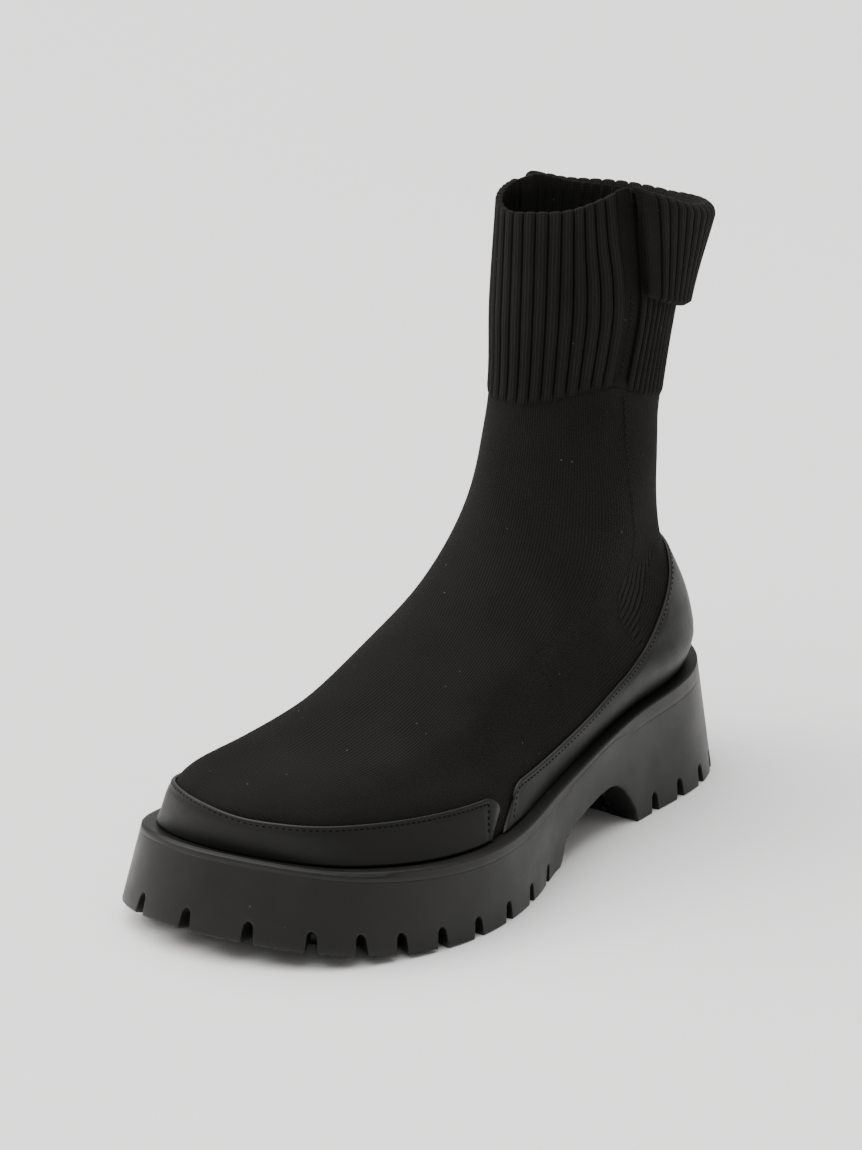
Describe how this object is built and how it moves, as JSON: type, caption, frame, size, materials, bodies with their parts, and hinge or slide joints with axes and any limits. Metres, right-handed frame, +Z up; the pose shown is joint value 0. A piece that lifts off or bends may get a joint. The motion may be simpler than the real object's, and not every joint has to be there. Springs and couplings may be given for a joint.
{
  "type": "sock boot",
  "caption": "Pull-on ankle boot with a seamless knit upper, ribbed cuff with a folded back flap, low foxing band and thick cleated rubber platform sole.",
  "frame": {"origin": "on the ground under the middle of the boot's bounding box", "axes": "+Z up, +Y towards the heel, the toe points along -Y and the outer (lateral) side of this left boot along +X"},
  "size_m": [0.1158, 0.2676, 0.2209],
  "materials": {
    "sole_rubber": "satin black moulded rubber",
    "upper_knit": "matte black ribbed knit",
    "foxing_band": "matte black smooth synthetic leather",
    "insole_cloth": "matte black textile"
  },
  "bodies": {
    "root": {"outsole": "sole_rubber", "upper": "upper_knit", "foxing": "foxing_band", "insole": "insole_cloth"}
  },
  "joints": []
}
